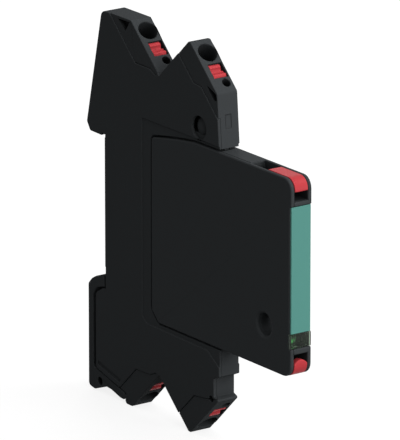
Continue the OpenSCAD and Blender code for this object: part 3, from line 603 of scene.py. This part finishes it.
class SURGE_OT_board(bpy.types.Operator):
    """Finishes the circuit board and its components, and adds the solder joints"""
    bl_idname = "surge.board"
    bl_label = "Circuit Board"

    def execute(self, context):
        look = context.scene.surge_board
        paint_node("circuit_board", lacquered_board("board_lacquer", look.board_color))
        paint_node("gas_tube", glossy_resin("tube_ceramic", CERAMIC, roughness=0.4))
        body = glossy_resin("component_body", COMPONENT_BLACK, roughness=0.35)
        for node in sorted(frame["nodes"]):
            if node.startswith(("suppressor_diode", "decoupling_resistor")):
                paint_node(node, body)
        add_solder_joints(look, rolled_metal("solder", SOLDER, roughness=0.25))
        return {"FINISHED"}


def solder_tree(name, material):
    """Geometry nodes: a row of solder cones along Z on the board's far face."""
    tree = bpy.data.node_groups.new(name, "GeometryNodeTree")
    sockets = tree.interface
    for label, kind in (("Radius", "NodeSocketFloat"), ("Height", "NodeSocketFloat"),
                        ("Count", "NodeSocketInt"), ("Pitch", "NodeSocketFloat"),
                        ("Start", "NodeSocketVector")):
        sockets.new_socket(name=label, in_out="INPUT", socket_type=kind)
    sockets.new_socket(name="Geometry", in_out="OUTPUT", socket_type="NodeSocketGeometry")
    nodes, links = tree.nodes, tree.links
    inputs = nodes.new("NodeGroupInput")
    output = nodes.new("NodeGroupOutput")
    step = nodes.new("ShaderNodeCombineXYZ")
    links.new(inputs.outputs["Pitch"], step.inputs["Z"])
    row = nodes.new("GeometryNodeMeshLine")
    row.mode = "OFFSET"
    links.new(inputs.outputs["Count"], row.inputs["Count"])
    links.new(inputs.outputs["Start"], row.inputs["Start Location"])
    links.new(step.outputs["Vector"], row.inputs["Offset"])
    cone = nodes.new("GeometryNodeMeshCone")
    cone.inputs["Vertices"].default_value = 16
    cone.inputs["Side Segments"].default_value = 3
    tip = nodes.new("ShaderNodeMath")
    tip.operation = "MULTIPLY"
    tip.inputs[1].default_value = TIP_SHARE
    links.new(inputs.outputs["Radius"], tip.inputs[0])
    links.new(tip.outputs["Value"], cone.inputs["Radius Top"])
    links.new(inputs.outputs["Radius"], cone.inputs["Radius Bottom"])
    links.new(inputs.outputs["Height"], cone.inputs["Depth"])
    place = nodes.new("GeometryNodeInstanceOnPoints")
    place.inputs["Rotation"].default_value = (0, math.radians(90), 0)
    links.new(row.outputs["Mesh"], place.inputs["Points"])
    links.new(cone.outputs["Mesh"], place.inputs["Instance"])
    realize = nodes.new("GeometryNodeRealizeInstances")
    links.new(place.outputs["Instances"], realize.inputs["Geometry"])
    finish = nodes.new("GeometryNodeSetMaterial")
    finish.inputs["Material"].default_value = material
    links.new(realize.outputs["Geometry"], finish.inputs["Geometry"])
    links.new(finish.outputs["Geometry"], output.inputs["Geometry"])
    return tree


def grown_piece(name, tree, values, body):
    """A piece made by a geometry-nodes tree with these input values, on this body."""
    piece = bpy.data.objects.new(name, bpy.data.meshes.new(name))
    bpy.context.scene.collection.objects.link(piece)
    modifier = piece.modifiers.new("make", "NODES")
    modifier.node_group = tree
    for item in tree.interface.items_tree:
        if item.in_out == "INPUT" and item.name in values:
            modifier[item.identifier] = values[item.name]
    bake_modifiers(piece)
    smooth_rounds(piece)
    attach(piece, body)


def add_solder_joints(look, solder):
    """Two rows of solder joints on the board's far face, behind the blades and by the tube."""
    low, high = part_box("circuit_board")
    tree = solder_tree("solder_row", solder)
    run = (look.joint_count - 1) * look.row_pitch
    seat = high.x + look.joint_h / 2
    for name, from_edge in SOLDER_ROWS.items():
        values = {"Radius": look.joint_r, "Height": look.joint_h, "Count": look.joint_count,
                  "Pitch": look.row_pitch,
                  "Start": (seat, high.y - from_edge, (low.z + high.z) / 2 - run / 2)}
        grown_piece(f"solder_joints_{name}", tree, values, "module")


class SURGE_OT_stage(bpy.types.Operator):
    """Adds the pale floor, the soft lamps and the camera at the photograph's angle"""
    bl_idname = "surge.stage"
    bl_label = "Stage"

    def execute(self, context):
        look = context.scene.surge_stage
        add_floor(look)
        add_world(look)
        add_lamps(look)
        add_camera(look)
        context.scene.view_settings.view_transform = "Standard"
        return {"FINISHED"}


def add_floor(look):
    """The floor under the part's lowest point."""
    low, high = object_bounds()
    middle = (low + high) / 2
    corners = [(middle.x + x * FLOOR_REACH, middle.y + y * FLOOR_REACH, low.z)
               for x, y in ((-1, -1), (1, -1), (1, 1), (-1, 1))]
    mesh = bpy.data.meshes.new("floor")
    mesh.from_pydata(corners, [], [(0, 1, 2, 3)])
    floor = bpy.data.objects.new("floor", mesh)
    bpy.context.scene.collection.objects.link(floor)
    mesh.materials.append(stage_material("floor_white", look.floor_color, FLOOR_SEEN))
    floor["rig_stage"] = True


def add_world(look):
    """Even light from all round, which the camera and reflections see as white."""
    world = bpy.data.worlds.new("studio")
    bpy.context.scene.world = world
    world.use_nodes = True
    nodes, links = world.node_tree.nodes, world.node_tree.links
    even = nodes["Background"]
    even.inputs["Color"].default_value = WHITE
    even.inputs["Strength"].default_value = look.world_level
    white = nodes.new("ShaderNodeBackground")
    white.inputs["Color"].default_value = WHITE
    white.inputs["Strength"].default_value = 1
    choice = nodes.new("ShaderNodeMixShader")
    links.new(seen_ray(nodes, links), choice.inputs["Fac"])
    links.new(even.outputs["Background"], choice.inputs[1])
    links.new(white.outputs["Background"], choice.inputs[2])
    links.new(choice.outputs["Shader"], nodes["World Output"].inputs["Surface"])


def aimed(place, target):
    """The turn that points a lamp from its place at the target."""
    return (target - place).to_track_quat("-Z", "Y").to_matrix().to_4x4()


def add_lamp(name, place, target, size, power):
    """A square area lamp that faces the target."""
    data = bpy.data.lights.new(name, "AREA")
    data.size = size
    data.energy = power
    lamp = bpy.data.objects.new(name, data)
    lamp.matrix_world = Matrix.Translation(place) @ aimed(place, target)
    bpy.context.scene.collection.objects.link(lamp)
    return lamp


def add_lamps(look):
    """The soft lamps; the one behind leaves no bright spot on glossy faces."""
    low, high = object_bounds()
    middle = (low + high) / 2
    for name, (offset, width) in LAMPS.items():
        lamp = add_lamp(name, middle + Vector(offset), middle, width, getattr(look, f"{name}_power"))
        lamp.visible_glossy = name != "back"


def add_camera(look):
    """The camera of the photograph: the anchor point falls on the anchor pixel."""
    turn, lift = -look.azimuth, look.elevation
    right = Vector((math.cos(turn), -math.sin(turn), 0))
    up = Vector((math.sin(turn) * math.sin(lift), math.cos(turn) * math.sin(lift), math.cos(lift)))
    back = right.cross(up)
    across = (ANCHOR_PX[0] - IMAGE_W / 2) / look.focal_px * look.distance
    above = -(ANCHOR_PX[1] - IMAGE_H / 2) / look.focal_px * look.distance
    place = ANCHOR + back * look.distance - right * across - up * above
    data = bpy.data.cameras.new("camera")
    data.sensor_width = SENSOR_W
    data.lens = data.sensor_width * look.focal_px / max(IMAGE_W, IMAGE_H)
    data.clip_start = 0.01
    data.clip_end = 50
    camera = bpy.data.objects.new("camera", data)
    camera.matrix_world = Matrix((
        (right.x, up.x, back.x, place.x), (right.y, up.y, back.y, place.y),
        (right.z, up.z, back.z, place.z), (0, 0, 0, 1)))
    bpy.context.scene.collection.objects.link(camera)
    bpy.context.scene.camera = camera


class SURGE_PT_panel(bpy.types.Panel):
    """Lists the pieces of the surge protector"""
    bl_label = "Surge Protection Barrier"
    bl_idname = "SURGE_PT_panel"
    bl_space_type = "VIEW_3D"
    bl_region_type = "UI"
    bl_category = "Surge Barrier"

    def draw(self, context):
        layout = self.layout
        for group, operators in GROUPS.items():
            box = layout.box()
            look = getattr(context.scene, group)
            for item in look.bl_rna.properties:
                if item.identifier not in {"rna_type", "name"}:
                    box.prop(look, item.identifier)
            for operator in operators:
                box.operator(operator)


GROUPS = {
    "surge_shell": ("surge.base", "surge.module", "surge.pushers"),
    "surge_front": ("surge.front",),
    "surge_metal": ("surge.contacts",),
    "surge_board": ("surge.board",),
    "surge_stage": ("surge.stage",),
}
SETTINGS = {
    "surge_shell": ShellSettings,
    "surge_front": FrontSettings,
    "surge_metal": MetalSettings,
    "surge_board": BoardSettings,
    "surge_stage": StageSettings,
}
CLASSES = (
    *SETTINGS.values(), SURGE_OT_base, SURGE_OT_module, SURGE_OT_pushers, SURGE_OT_front, SURGE_OT_contacts,
    SURGE_OT_board, SURGE_OT_stage, SURGE_PT_panel,
)


def register():
    for item in CLASSES:
        bpy.utils.register_class(item)
    for name, group in SETTINGS.items():
        setattr(bpy.types.Scene, name, bpy.props.PointerProperty(type=group))


def unregister():
    for name in SETTINGS:
        delattr(bpy.types.Scene, name)
    for item in reversed(CLASSES):
        bpy.utils.unregister_class(item)


def main():
    register()
    for operators in GROUPS.values():
        for operator in operators:
            group, name = operator.split(".")
            getattr(getattr(bpy.ops, group), name)()


if __name__ == "__main__":
    main()
